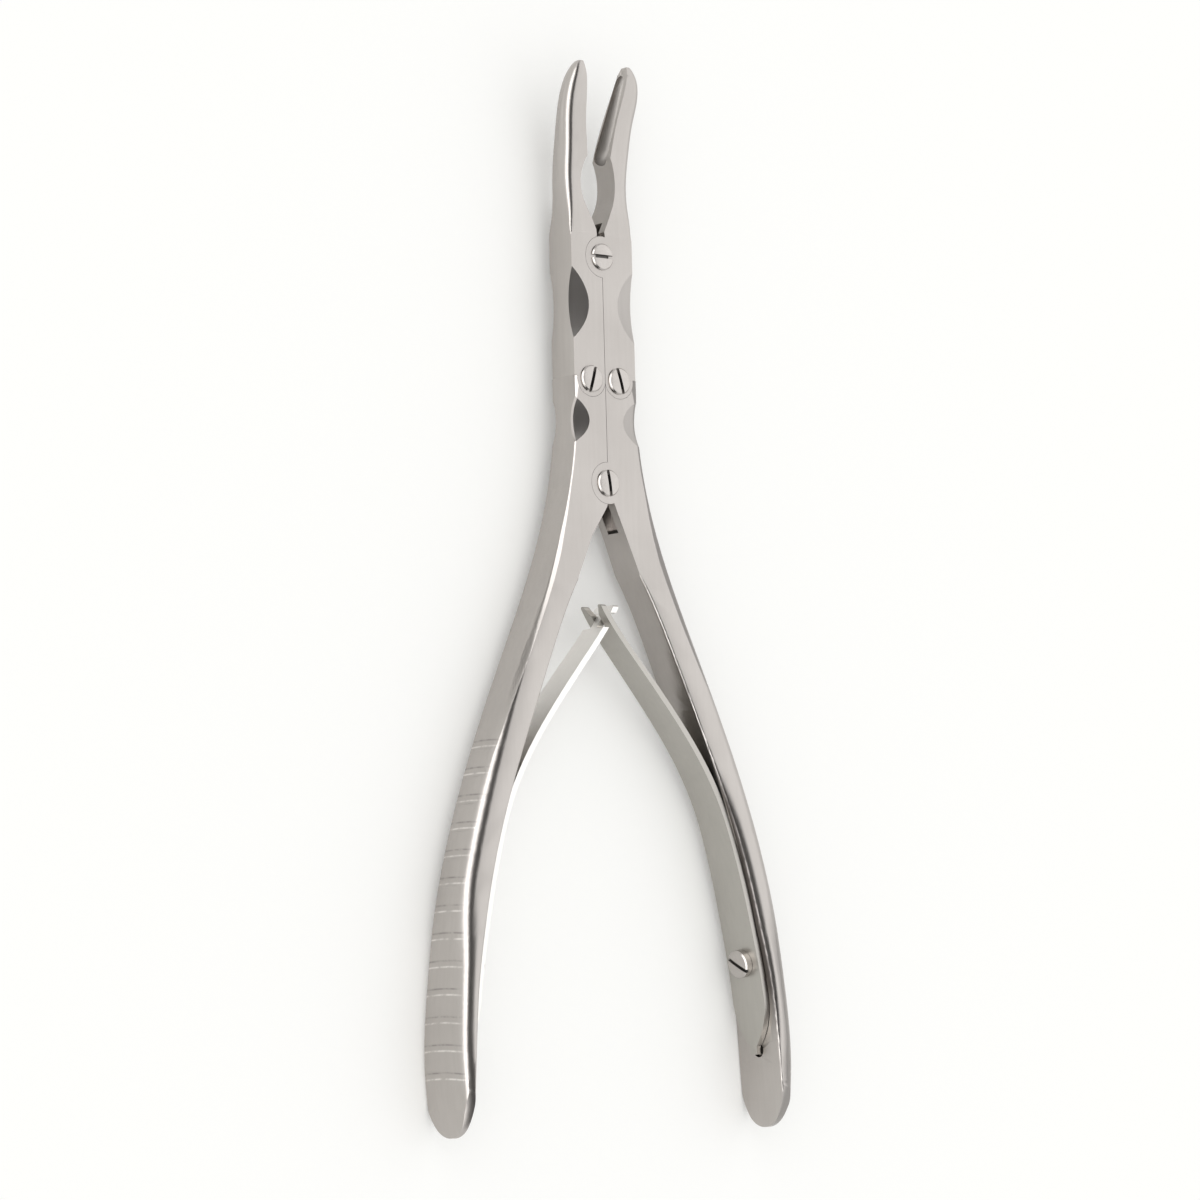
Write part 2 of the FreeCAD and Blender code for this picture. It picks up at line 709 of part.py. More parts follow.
def makeJaw(name, label, side, isFork):
    body = newBody(name, label)
    jawBlank(body, side)
    cutJawInnerEdge(body, side, "fork" if isFork else "tongue")
    flattenJaw(body)
    cutEars(body, side)
    if isFork:
        wall, pivotAlong = "sizes.slotWall", pivots["jawPivot"][1]
        mouthAlong = f"{pivotAlong} + sizes.jawSlotMouthAlong"
        addForkBoss(body, side, "jawPivot", [
            (f"-1 * {wall}", pivotAlong, None),
            (f"-1 * {wall}", mouthAlong, None),
            ("sizes.jawSlotMouthAcross", mouthAlong, None),
            (wall, f"{pivotAlong} + sizes.jawSlotSide", None),
            (wall, f"{pivotAlong} + sizes.slotTaper", None),
            (f"{wall} * sizes.slotShoulder", pivotAlong, None),
        ])
    else:
        addTongue(body, side, "jawPivot")
    shank = "sizes.screwShankRadius"
    cutBore(body, "linkBore", side, "link", shank)
    cutBore(body, "pivotBore", side, "jawPivot",
            shank if isFork else f"{shank} + sizes.screwRunGap")
    cutScallops(body, "upperScallop", side, "sizes.jawTailOuter - sizes.jawTailCrown")
    cutCup(body, side)
    return body


# Screws

def drawScrew(body, head, headRise, seat, length, shank):
    sketch = addSketch(body, "profile", "XZ_Plane")
    top = f"({seat} + {headRise})"
    bevel = "sizes.screwHeadBevel"
    domeRadius = f"((({head} - {bevel})^2 + sizes.screwDome^2) / (2 * sizes.screwDome))"
    drawOutline(sketch, 1, [
        ("0", f"{seat} - {length}", None),
        (shank, f"{seat} - {length}", None),
        (shank, seat, None),
        (head, seat, None),
        (head, f"{top} - sizes.screwDome - {bevel}", None),
        (f"{head} - {bevel}", f"{top} - sizes.screwDome", (domeRadius, 1)),
        ("0", top, None),
    ])
    turned = body.newObject("PartDesign::Revolution", "turned")
    turned.Profile = sketch
    turned.ReferenceAxis = (sketch, ["V_Axis"])
    turned.Angle = 360
    doc.recompute()
    slot = addSketch(body, "driverSlot", "XY_Plane", f"{top} - sizes.driverSlotDepth")
    half = "sizes.driverSlotWidth / 2"
    drawOutline(slot, 1, [
        (f"-1 * ({head} + {spare})", f"-1 * {half}", None),
        (f"{head} + {spare}", f"-1 * {half}", None),
        (f"{head} + {spare}", half, None),
        (f"-1 * ({head} + {spare})", half, None),
    ])
    return pocketOutward(body, "driverSlotCut", slot)


def makePivotScrew(name, label, side, pivot, slotAngle):
    body = doc.addObject("PartDesign::Body", name)
    body.Label = label
    drawScrew(body, "sizes.screwHeadRadius", "sizes.screwHeadRise", face, "sizes.jointDepth",
              "sizes.screwShankRadius")
    x, y = pivots[pivot]
    body.setExpression("Placement.Base.x", f"{side} * ({x})")
    body.setExpression("Placement.Base.y", f"sizes.pivotToOrigin + {y}")
    body.setExpression("Placement.Base.z", "sizes.restHeight")
    body.Placement.Rotation = FreeCAD.Rotation(FreeCAD.Vector(0, 0, 1), slotAngle)
    return body


# A leaf screw stands on the leaf and its shank ends in the handle
def makeLeafScrew(name, label, side, blank, slotAngle):
    body = doc.addObject("PartDesign::Body", name)
    body.Label = label
    seat = "(sizes.leafThickness + sizes.leafSeat + sizes.leafScrewSeatGap)"
    drawScrew(body, "sizes.leafScrewHeadRadius", "sizes.leafScrewHeadRise", seat,
              f"({seat} + sizes.leafScrewDepth - sizes.screwEndGap)", "sizes.leafScrewShankRadius")
    point, outward = innerFaceAt(blank, side, value("sizes.leafScrewAlong"))
    aim = FreeCAD.Rotation(FreeCAD.Vector(0, 0, 1), outward)
    roll = FreeCAD.Rotation(FreeCAD.Vector(0, 0, 1), slotAngle)
    lift = FreeCAD.Vector(0, value("sizes.pivotToOrigin"), value("sizes.restHeight"))
    body.Placement = FreeCAD.Placement(point + lift, aim.multiply(roll))
    return body


# Leaf springs

gripStations = 9


# Where a leaf runs: place along the tool and the side that faces the middle. It is
# laid on the handle's inner edge from the root to the bow, then it leaves the handle.
def leafRoute(blank, side):
    route = []
    first, last = value("sizes.handleButtAlong"), value("sizes.leafLiftOff")
    pitch = (last - first) / (gripStations - 1)
    for place in range(gripStations):
        along = first + place * pitch
        across = surfacesAcross(blank, side, along)[0]
        slope = surfacesAcross(blank, side, along + 1)[0] - across
        thickness = f"sizes.leafThickness * {round(math.hypot(1, slope), 4)}"
        route.append((str(round(along, 4)), f"({round(across, 4)} - sizes.leafSeat - {thickness})"))
    for station in leafStations:
        size = "sizes.leaf" + station.capitalize()
        route.append((size + "Along", size + "Inner"))
    return route


# Thickness measured across the tool, which grows as the leaf leans over
def leafAcross(route, place):
    beforeAlong, beforeInner = route[max(place - 1, 0)]
    afterAlong, afterInner = route[min(place + 1, len(route) - 1)]
    slope = f"(({afterInner} - {beforeInner}) / ({afterAlong} - ({beforeAlong})))"
    return f"(sizes.leafThickness * sqrt(1 + {slope}^2))"


def leafSection(body, side, route, place):
    along, inner = route[place]
    outer = f"({inner} + {leafAcross(route, place)})"
    half = "sizes.leafHeelWidth"
    sketch = addSketch(body, f"station{place}", "XZ_Plane", f"-1 * ({along})")
    drawOutline(sketch, side, [
        (inner, f"-1 * {half}", None),
        (inner, half, None),
        (outer, half, None),
        (outer, f"-1 * {half}", None),
    ])
    return sketch


# One long edge of a leaf in side view, from its tip end to the nib
def longEdge():
    half, root = "(sizes.leafHeelWidth / 2)", "sizes.leafRootHalf"
    long, drop = "(sizes.handleHeelAlong - sizes.leafRootAlong)", f"({half} - {root})"
    return [
        ("sizes.leafLiftAlong", "sizes.leafLiftWidth / 2", None),
        ("sizes.handleBowAlong", "sizes.leafBowWidth / 2", None),
        ("sizes.handleBellyAlong", "sizes.leafBellyWidth / 2", None),
        ("sizes.handleHeelAlong", half, (f"({long}^2 + {drop}^2) / (2 * {drop})", 1)),
        ("sizes.leafRootAlong", root, None),
        ("sizes.nibAlong - sizes.nibWidth / 2", "sizes.nibWidth / 2", None),
    ]


# The prongs of the fork flare apart and end in round points
def forkEnd():
    slot, wide = "(sizes.forkSlotWidth / 2)", "(sizes.forkWidth / 2)"
    tip, bend = "sizes.leafTipAlong", "sizes.prongRound"
    return [
        ("sizes.forkSlotAlong", slot, None),
        (f"{tip} - sizes.forkFlare", slot, None),
        (f"{tip} - {bend}", f"{wide} - 2 * {bend}", (bend, 1)),
        (tip, f"{wide} - {bend}", (bend, 1)),
        (f"{tip} - {bend}", wide, None),
    ]


def headEnd():
    neck, wide = "(sizes.neckWidth / 2)", "(sizes.headWidth / 2)"
    tip, head = "sizes.leafTipAlong", "sizes.headAlong"
    bend, shoulder = "sizes.headRound", "sizes.neckShoulder"
    return [
        (tip, f"{wide} - {bend}", (bend, 1)),
        (f"{tip} - {bend}", wide, None),
        (f"{head} + {bend} / 2", wide, (f"{bend} / 2", 1)),
        (head, f"{wide} - {bend} / 2", None),
        (head, neck, None),
        ("sizes.neckAlong", neck, (shoulder, -1)),
        (f"sizes.neckAlong - {shoulder}", f"{neck} + {shoulder}", None),
        (f"sizes.neckAlong - {shoulder}", "sizes.forkWidth / 2", None),
    ]


# The same edge on the back, run through in the other direction
def mirrorEdge(edge):
    points = [(x, f"-1 * ({y})") for x, y, curve in edge]
    curves = [curve for x, y, curve in edge[:-1]]
    backward = [(x, y, None) for x, y in reversed(points)]
    for place, curve in enumerate(reversed(curves)):
        x, y, none = backward[place]
        backward[place] = (x, y, curve)
    return backward


def makeLeaf(name, label, side, isFork, blank):
    body = newBody(name, label)
    route = leafRoute(blank, side)
    sketches = [leafSection(body, side, route, place) for place in range(len(route))]
    doc.recompute()
    loftThrough(body, "strip", sketches)
    front = (forkEnd() if isFork else headEnd()) + longEdge()
    back = mirrorEdge(front)
    if isFork:
        slot = "(sizes.forkSlotWidth / 2)"
        back[-1] = (back[-1][0], back[-1][1], (f"{slot} * sizes.slotEndEase", -1))
    trim = addSketch(body, "leafOutline", "YZ_Plane")
    drawOutline(trim, 1, [
        ("0", clear, None),
        (f"sizes.handleEnd - {clear}", clear, None),
        (f"sizes.handleEnd - {clear}", f"-1 * {clear}", None),
        ("0", f"-1 * {clear}", None),
    ])
    drawOutline(trim, 1, front + back)
    pocketMiddle(body, "leafOutlineCut", trim)
    addNib(body, side, blank)
    point, outward = innerFaceAt(blank, side, value("sizes.leafScrewAlong"))
    bore = body.newObject("PartDesign::SubtractiveCylinder", "leafScrewBore")
    bore.AttachmentSupport = (originPlane(body, "XY_Plane"), [""])
    bore.MapMode = "FlatFace"
    bore.setExpression("Radius", "sizes.leafScrewShankRadius + sizes.screwRunGap")
    bore.setExpression("Height", f"2 * {spare} + sizes.leafThickness + sizes.leafSeat")
    bore.AttachmentOffset = FreeCAD.Placement(
        point - outward * value(spare), FreeCAD.Rotation(FreeCAD.Vector(0, 0, 1), outward))
    checkedCut(body, bore)
    return body


# The nib at the root bends into a hole in the handle
def addNib(body, side, blank):
    point, outward = innerFaceAt(blank, side, value("sizes.nibAlong"))
    peg = body.newObject("PartDesign::AdditiveCylinder", "nib")
    peg.AttachmentSupport = (originPlane(body, "XY_Plane"), [""])
    peg.MapMode = "FlatFace"
    peg.setExpression("Radius", "sizes.nibWidth / 2")
    peg.setExpression("Height", "sizes.nibReach + sizes.leafSeat + sizes.leafThickness / 2")
    start = point + outward * (value("sizes.leafSeat") + value("sizes.leafThickness") / 2)
    peg.AttachmentOffset = FreeCAD.Placement(
        start, FreeCAD.Rotation(FreeCAD.Vector(0, 0, 1), outward * -1))
    doc.recompute()
    return peg


rightHandle, rightBlank = makeHandle("rightHandle", "right_handle", 1, True)
leftHandle, leftBlank = makeHandle("leftHandle", "left_handle", -1, False)
rightJaw = makeJaw("rightJaw", "right_jaw", 1, True)
leftJaw = makeJaw("leftJaw", "left_jaw", -1, False)
screws = [
    makePivotScrew("jawPivotScrew", "jaw_pivot_screw", 1, "jawPivot", 0),
    makePivotScrew("rightLinkScrew", "right_link_screw", 1, "link", -74),
    makePivotScrew("leftLinkScrew", "left_link_screw", -1, "link", 74),
    makePivotScrew("handlePivotScrew", "handle_pivot_screw", 1, "handlePivot", -82),
    makeLeafScrew("rightSpringScrew", "right_spring_screw", 1, rightBlank, -20),
    makeLeafScrew("leftSpringScrew", "left_spring_screw", -1, leftBlank, 20),
]
leaves = [
    makeLeaf("rightSpring", "right_spring", 1, True, rightBlank),
    makeLeaf("leftSpring", "left_spring", -1, False, leftBlank),
]
pieces = [rightHandle, leftHandle, rightJaw, leftJaw] + screws + leaves
doc.recompute()

# Every feature has to be sound before anything is written
for thing in doc.Objects:
    if "Invalid" in thing.State or "Error" in thing.State:
        raise RuntimeError(f"{thing.Label} failed: {thing.State}")
for piece in pieces:
    if piece.Shape.isNull() or not piece.Shape.isValid():
        raise RuntimeError(piece.Label + " has no valid shape")

os.makedirs("parts", exist_ok=True)
for piece in pieces:
    piece.Shape.exportStep(os.path.join("parts", piece.Label + ".step"))
    print(piece.Label, round(piece.Shape.Volume, 2), len(piece.Shape.Solids), piece.Shape.BoundBox)
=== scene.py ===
import json
import math

import bmesh
import bpy
from mathutils import Matrix, Vector


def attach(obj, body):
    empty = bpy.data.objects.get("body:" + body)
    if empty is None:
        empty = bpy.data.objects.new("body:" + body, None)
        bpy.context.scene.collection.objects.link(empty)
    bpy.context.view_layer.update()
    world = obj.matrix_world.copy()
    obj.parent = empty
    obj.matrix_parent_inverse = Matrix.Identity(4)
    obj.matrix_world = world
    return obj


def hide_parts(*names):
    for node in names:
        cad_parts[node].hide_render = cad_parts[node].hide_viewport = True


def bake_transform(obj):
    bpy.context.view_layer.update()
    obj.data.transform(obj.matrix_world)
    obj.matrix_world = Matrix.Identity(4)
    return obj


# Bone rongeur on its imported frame. Metres, +Y from the handle ends to the jaws,
# +X to the right handle, +Z up, with the back of the tool on the floor.

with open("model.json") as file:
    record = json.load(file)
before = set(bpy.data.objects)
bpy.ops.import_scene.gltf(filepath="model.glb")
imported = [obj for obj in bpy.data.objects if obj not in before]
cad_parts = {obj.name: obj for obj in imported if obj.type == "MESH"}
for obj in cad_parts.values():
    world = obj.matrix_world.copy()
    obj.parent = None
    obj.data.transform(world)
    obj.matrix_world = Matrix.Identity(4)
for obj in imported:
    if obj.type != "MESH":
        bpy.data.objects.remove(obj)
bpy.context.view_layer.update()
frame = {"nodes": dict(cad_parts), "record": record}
cadNodes = frame["nodes"]
print("frame loaded:", len(cadNodes), "nodes")


# Shader and geometry nodes written as arithmetic

class Wire:
    def __init__(self, sheet, socket):
        self.sheet = sheet
        self.socket = socket

    def maths(self, operation, first, second):
        return self.sheet.node("ShaderNodeMath", {"operation": operation}, {0: first, 1: second})

    def __add__(self, other):
        return self.maths("ADD", self, other)

    def __radd__(self, other):
        return self.maths("ADD", other, self)

    def __sub__(self, other):
        return self.maths("SUBTRACT", self, other)

    def __rsub__(self, other):
        return self.maths("SUBTRACT", other, self)

    def __mul__(self, other):
        return self.maths("MULTIPLY", self, other)

    def __rmul__(self, other):
        return self.maths("MULTIPLY", other, self)

    def __truediv__(self, other):
        return self.maths("DIVIDE", self, other)

    def __rtruediv__(self, other):
        return self.maths("DIVIDE", other, self)

    def __pow__(self, other):
        return self.maths("POWER", self, other)

    def __neg__(self):
        return self.maths("MULTIPLY", self, -1.0)

    def atLeast(self, other):
        return self.maths("MAXIMUM", self, other)

    def atMost(self, other):
        return self.maths("MINIMUM", self, other)

    def size(self):
        return self.maths("ABSOLUTE", self, 0.0)

    def remainder(self):
        return self.maths("FRACT", self, 0.0)

    def above(self, other):
        return self.maths("GREATER_THAN", self, other)

    def between(self, low, high):
        return ((self - low) / (high - low)).atLeast(0.0).atMost(1.0)

    # The vector made longer or shorter along each direction
    def stretched(self, amounts):
        return self.sheet.node("ShaderNodeVectorMath", {"operation": "MULTIPLY"}, {0: self, 1: amounts})

    # A colour that runs from the first to the second as this value runs from 0 to 1
    def colours(self, first, second):
        sockets = {"Factor": self, "A": (*first, 1.0), "B": (*second, 1.0)}
        return self.sheet.node("ShaderNodeMix", {"data_type": "RGBA"}, sockets, "Result")


class Sheet:
    def __init__(self, tree):
        self.tree = tree

    # Settings come first, because some of them change which sockets a node has
    def node(self, kind, settings=None, sockets=None, result=0):
        made = self.tree.nodes.new(kind)
        for name, value in (settings or {}).items():
            setattr(made, name, value)
        for name, value in (sockets or {}).items():
            for part in value if isinstance(value, list) else [value]:
                self.plug(part, self.findSocket(made.inputs, name))
        return Wire(self, self.findSocket(made.outputs, result))

    # Mix keeps one socket of each name for numbers, vectors and colours
    def findSocket(self, sockets, name):
        if isinstance(name, int):
            return sockets[name]
        return next(socket for socket in sockets if socket.name == name and socket.enabled)

    def plug(self, value, socket):
        if isinstance(value, Wire):
            self.tree.links.new(value.socket, socket)
        else:
            socket.default_value = value

    def vector(self, x, y, z):
        return self.node("ShaderNodeCombineXYZ", None, {"X": x, "Y": y, "Z": z})


# Steel finishes

class Finish(Sheet):
    def __init__(self, name):
        self.material = bpy.data.materials.new(name)
        self.material.use_nodes = True
        super().__init__(self.material.node_tree)
        self.shader = self.tree.nodes["Principled BSDF"]
        self.place = self.node("ShaderNodeTexCoord", None, None, "Object")

    def noise(self, pattern, stretch=(1.0, 1.0, 1.0)):
        sockets = {"Vector": self.place.stretched(stretch), **pattern}
        return self.node("ShaderNodeTexNoise", None, sockets, "Fac")

    def spot(self):
        parts = self.node("ShaderNodeSeparateXYZ", None, {"Vector": self.place}).socket.node.outputs
        return [Wire(self, part) for part in parts]

    def give(self, name, value):
        self.plug(value, self.shader.inputs[name])


satinSteel = {
    "darkTone": (0.430, 0.404, 0.382),
    "lightTone": (0.485, 0.458, 0.435),
    "toneFrom": 0.3,
    "toneTo": 0.7,
    "roughness": 0.33,
    "roughnessSpread": 0.05,
    "clouds": {"Scale": 90.0, "Detail": 3.0, "Roughness": 0.5},
    "cloudShare": 0.6,
    "grain": {"Scale": 2400.0, "Detail": 2.0, "Roughness": 0.6},
    "grainShare": 0.5,
    "brushing": {"Scale": 1400.0, "Detail": 4.0, "Roughness": 0.6},
    "brushStretch": (1.0, 0.05, 1.0),
    "bumpStrength": 0.10,
    "bumpDistance": 0.000006,
}
springSteel = {
    **satinSteel,
    "darkTone": (0.395, 0.38, 0.352),
    "lightTone": (0.45, 0.434, 0.403),
    "roughness": 0.30,
}
# The left leaf's steel is painted far lighter: a painted sheen for the bright reflection its face shows
paintedSheenSpringSteel = {
    **satinSteel,
    "darkTone": (0.88, 0.86, 0.83),
    "lightTone": (0.94, 0.92, 0.89),
    "roughness": 0.38,
}
# The hollow of a cup is duller than its rim, and darker: painted shade in the hollow
shadedCupSteel = {
    **satinSteel,
    "darkTone": (0.36, 0.34, 0.32),
    "lightTone": (0.41, 0.39, 0.37),
    "roughness": 0.55,
}
screwSteel = {
    **satinSteel,
    "clouds": {"Scale": 500.0, "Detail": 3.0, "Roughness": 0.5},
    "roughness": 0.22,
    "brushStretch": (1.0, 1.0, 1.0),
}
# The slots get a near-black colour: painted shade in the slots
slotShade = {
    **satinSteel,
    "darkTone": (0.10, 0.093, 0.088),
    "lightTone": (0.22, 0.21, 0.20),
    "roughness": 0.45,
}


# The handles: chamfered outer corners that turn round along the grips, a broad corner beside the right
# leaf, crosswise grooves drawn as painted shade on one flank and a painted highlight on the other, and
# painted shade beside the right leaf
grip = {
    "edgeLow": -0.088,
    "edgeHigh": 0.038,
    "edgeSteps": 22,
    "edgeReach": 0.06,
    "middle": 0.0056,
    "grooveFirst": -0.0266,
    "grooveLast": -0.0822,
    "groovePitch": 0.00463,
    "flankAway": 0.00050,
    "flankHalf": 0.00022,
    "flankStarts": 0.0009,
    "flankEnds": 0.0003,
    "flankArch": 9.0,
    "rowEnd": 0.0001,
    # Noise that breaks up where the grooves' painted shade and painted highlight show
    "flankBreakup": {"Scale": 700.0, "Detail": 2.0, "Roughness": 0.5},
    "breakupFrom": 0.3,
    "breakupTo": 0.6,
    # Painted shade and painted highlight on the grooves' flanks, then painted shade beside the right
    # leaf
    "paintedFlankShade": (0.28, 0.26, 0.25),
    "paintedFlankHighlight": (0.78, 0.75, 0.72),
    "shadeColour": (0.10, 0.09, 0.085),
    "shadeWidth": 0.0007,
    "shadeCore": 0.3,
    "shadeAbove": 0.0094,
    "shadeTop": (-0.026, -0.036),
    "shadeFoot": (-0.078, -0.068),
    "innerWidth": 0.0021,
    "innerSlope": 0.58,
    "innerTop": (-0.030, -0.044),
    "innerFoot": (-0.080, -0.066),
    "outerWidth": 0.0014,
    "outerCorner": 0.0022,
    "outerSlope": 0.30,
    "outerTop": (-0.050, -0.064),
    "chamferNarrow": 0.00025,
    "chamferWide": 0.00095,
    "chamferCorner": 0.0004,
    "chamferGrows": (0.018, 0.006),
    "chamferEnds": (-0.034, -0.012),
    "chamferSlope": 1.15,
}


# How far out the right handle's outer and inner sides stand, along its length.
# The left handle is its mirror.
def handleEdges():
    handle = cadNodes["right_handle"]
    toHandle = handle.matrix_world.inverted()
    turn = toHandle.to_3x3().normalized()
    low, high, steps = grip["edgeLow"], grip["edgeHigh"], grip["edgeSteps"]
    outer, inner = [], []
    for index in range(steps + 1):
        share = index / steps
        along = low + (high - low) * share
        for points, begin, way in ((outer, grip["edgeReach"], -1), (inner, 0.0, 1)):
            origin = toHandle @ Vector((begin, along, grip["middle"]))
            hit, spot = handle.ray_cast(origin, turn @ Vector((way, 0, 0)))[:2]
            if hit:
                points.append((share, (handle.matrix_world @ spot).x / grip["edgeReach"]))
    return outer, inner


# A value that follows the given points as this one runs from 0 to 1
def follow(value, points):
    made = value.sheet.node("ShaderNodeFloatCurve", None, {"Value": value})
    mapping = made.socket.node.mapping
    curve = mapping.curves[0]
    curve.points[0].location = points[0]
    curve.points[1].location = points[-1]
    for point in points[1:-1]:
        curve.points.new(*point)
    mapping.update()
    return made


outerEdge, innerEdge = handleEdges()
print("handle edges:", len(outerEdge), "outer points,", len(innerEdge), "inner points")


def fromOuterSide(x, y):
    share = y.between(grip["edgeLow"], grip["edgeHigh"])
    return follow(share, outerEdge) * grip["edgeReach"] - x.size()


def fromInnerSide(x, y):
    share = y.between(grip["edgeLow"], grip["edgeHigh"])
    return x.size() - follow(share, innerEdge) * grip["edgeReach"]


def mixTone(share, tone, colour):
    sockets = {"Factor": share, "A": tone, "B": (*colour, 1.0)}
    return share.sheet.node("ShaderNodeMix", {"data_type": "RGBA"}, sockets, "Result")


# Painted shade and a painted highlight on the grooves' flanks, broken up by noise, and painted shade
# beside the right leaf
def gripPaintedLight(finish, tone):
    x, y, z = finish.spot()
    side = fromOuterSide(x, y).between(grip["flankStarts"], grip["flankEnds"])
    pitch = grip["groovePitch"]
    lowEnd = grip["grooveLast"] - pitch / 2
    highEnd = grip["grooveFirst"] + pitch / 2
    rows = y.between(lowEnd, lowEnd + grip["rowEnd"]) * y.between(highEnd, highEnd - grip["rowEnd"])
    turns = (y - grip["grooveFirst"]) / pitch + 0.5
    away = (turns.remainder() - 0.5) * pitch + grip["flankArch"] * (z - grip["middle"]) ** 2.0
    flankPatches = finish.noise(grip["flankBreakup"]).between(grip["breakupFrom"], grip["breakupTo"]) * side * rows
    # Painted shade on one flank of each groove and a painted highlight on the other
    dark = (away - grip["flankAway"]).size().between(grip["flankHalf"], 0.0) * flankPatches
    bright = (away + grip["flankAway"]).size().between(grip["flankHalf"], 0.0) * flankPatches
    # Painted shade in the strip beside the right leaf's edge
    shade = fromInnerSide(x, y).between(grip["shadeWidth"], grip["shadeWidth"] * grip["shadeCore"])
    shade = shade * z.above(grip["shadeAbove"]) * x.above(0.0)
    shade = shade * y.between(*grip["shadeTop"]) * y.between(*grip["shadeFoot"])
    tone = mixTone(shade, tone, grip["shadeColour"])
    return mixTone(bright, mixTone(dark, tone, grip["paintedFlankShade"]), grip["paintedFlankHighlight"])


# How far the broad corners and the chamfer fall below the sharp section
def gripHeight(finish):
    x, y, z = finish.spot()
    width = grip["innerWidth"]
    inside = (fromInnerSide(x, y) / width).atLeast(0.0).atMost(1.0)
    inner = (1.0 - inside) ** 2.0 * (grip["innerSlope"] * width / 2)
    inner = inner * y.between(*grip["innerTop"]) * y.between(*grip["innerFoot"]) * x.above(0.0)
    width = grip["outerWidth"]
    rim = fromOuterSide(x, y)
    outside = ((grip["outerCorner"] + width - rim) / width).atLeast(0.0)
    outer = outside ** 2.0 * (grip["outerSlope"] * width / 2) * y.between(*grip["outerTop"])
    ends = y.between(*grip["chamferEnds"])
    wider = (grip["chamferWide"] - grip["chamferNarrow"]) * y.between(*grip["chamferGrows"])
    width = (grip["chamferNarrow"] + wider) * ends
    chamfer = (grip["chamferCorner"] + width - rim).atLeast(0.0) * grip["chamferSlope"] * ends
    return -(inner + outer + chamfer)


def makeSteel(name, look, isGrip=False):
    finish = Finish(name)
    clouds = finish.noise(look["clouds"])
    brushing = finish.noise(look["brushing"], look["brushStretch"])
    texture = look["grainShare"] * finish.noise(look["grain"]) + (1 - look["grainShare"]) * brushing
    tone = look["cloudShare"] * clouds + (1 - look["cloudShare"]) * brushing
    tone = tone.between(look["toneFrom"], look["toneTo"])
    colour = tone.colours(look["darkTone"], look["lightTone"])
    finish.give("Base Color", gripPaintedLight(finish, colour) if isGrip else colour)
    finish.give("Roughness", look["roughness"] + 2.0 * look["roughnessSpread"] * (texture - 0.5))
    finish.give("Metallic", 1.0)
    sockets = {"Strength": look["bumpStrength"], "Distance": look["bumpDistance"], "Height": texture}
    if isGrip:
        shape = {"Strength": 1.0, "Distance": 1.0, "Height": gripHeight(finish)}
        sockets["Normal"] = finish.node("ShaderNodeBump", None, shape, "Normal")
    finish.give("Normal", finish.node("ShaderNodeBump", None, sockets, "Normal"))
    return finish.material


steels = {
    "satin_steel": makeSteel("satinSteel", satinSteel),
    "spring_steel": makeSteel("springSteel", springSteel),
    "screw_steel": makeSteel("screwSteel", screwSteel),
}
slotShadeSteel = makeSteel("slotShadeSteel", slotShade)
paintedSheenSpring = makeSteel("paintedSheenSpring", paintedSheenSpringSteel)
# Painted shade in the cups' hollows
dullShadedCup = makeSteel("dullShadedCup", shadedCupSteel)
# The handles' steel, with painted shade and painted highlights on its grips
gripPaintedSteel = makeSteel("gripPaintedSteel", satinSteel, True)
print("finishes ready:", len(bpy.data.materials))


# Work that every piece shares

edges = {
    "mergeDistance": 0.000002,
    "flatAngle": 0.05,
    "creaseAngle": 11.0,
    "sharpAngle": 28.0,
    "segments": 2,
    "cutTolerance": 0.00000001,
}


def bodyOf(nodeName):
    bodies = frame["record"]["behaviour"]["bodies"]
    return next(body for body, members in bodies.items() if nodeName in members)


def newPiece(name, mesh):
    data = bpy.data.meshes.new(name)
    mesh.to_mesh(data)
    mesh.free()
    piece = bpy.data.objects.new(name, data)
    bpy.context.scene.collection.objects.link(piece)
    return piece


def mergedCopy(nodeName, pieceName):
    mesh = bmesh.new()
    mesh.from_mesh(cadNodes[nodeName].data)
    bmesh.ops.remove_doubles(mesh, verts=mesh.verts, dist=edges["mergeDistance"])
    bmesh.ops.dissolve_limit(
        mesh, angle_limit=math.radians(edges["flatAngle"]), verts=mesh.verts, edges=mesh.edges)
    return newPiece(pieceName, mesh)


# Cross cuts give a piece the points that it needs to bend or to be rounded
def cutAcross(piece, start, end, step):
    mesh = bmesh.new()
    mesh.from_mesh(piece.data)
    along = start
    while along <= end:
        whole = mesh.verts[:] + mesh.edges[:] + mesh.faces[:]
        bmesh.ops.bisect_plane(
            mesh, geom=whole, dist=edges["cutTolerance"], plane_co=(0, along, 0), plane_no=(0, 1, 0))
        along += step
    mesh.to_mesh(piece.data)
    mesh.free()


def softenEdges(piece, width):
    piece.data.shade_smooth()
    piece.data.set_sharp_from_angle(angle=math.radians(edges["creaseAngle"]))
    bevel = piece.modifiers.new("edges", "BEVEL")
    bevel.width = width
    bevel.segments = edges["segments"]
    bevel.limit_method = "ANGLE"
    bevel.angle_limit = math.radians(edges["sharpAngle"])
    bevel.use_clamp_overlap = True
    bevel.harden_normals = True
    bevel.miter_outer = "MITER_ARC"
    applyModifiers(piece)


def applyModifiers(piece):
    graph = bpy.context.evaluated_depsgraph_get()
    plain = bpy.data.meshes.new_from_object(piece.evaluated_get(graph))
    piece.modifiers.clear()
    piece.data = plain


# Faces marked 1 take the second material, where there is one
def paintPiece(piece, *materials):
    marks = [polygon.material_index for polygon in piece.data.polygons]
    piece.data.materials.clear()
    for material in materials:
        piece.data.materials.append(material)
    for polygon, mark in zip(piece.data.polygons, marks):
        polygon.material_index = min(mark, len(materials) - 1)


# Handles and jaws

forging = {
    "nodes": ("left_handle", "right_handle", "left_jaw", "right_jaw"),
    "steel": "satin_steel",
    "edgeWidth": 0.00012,
}
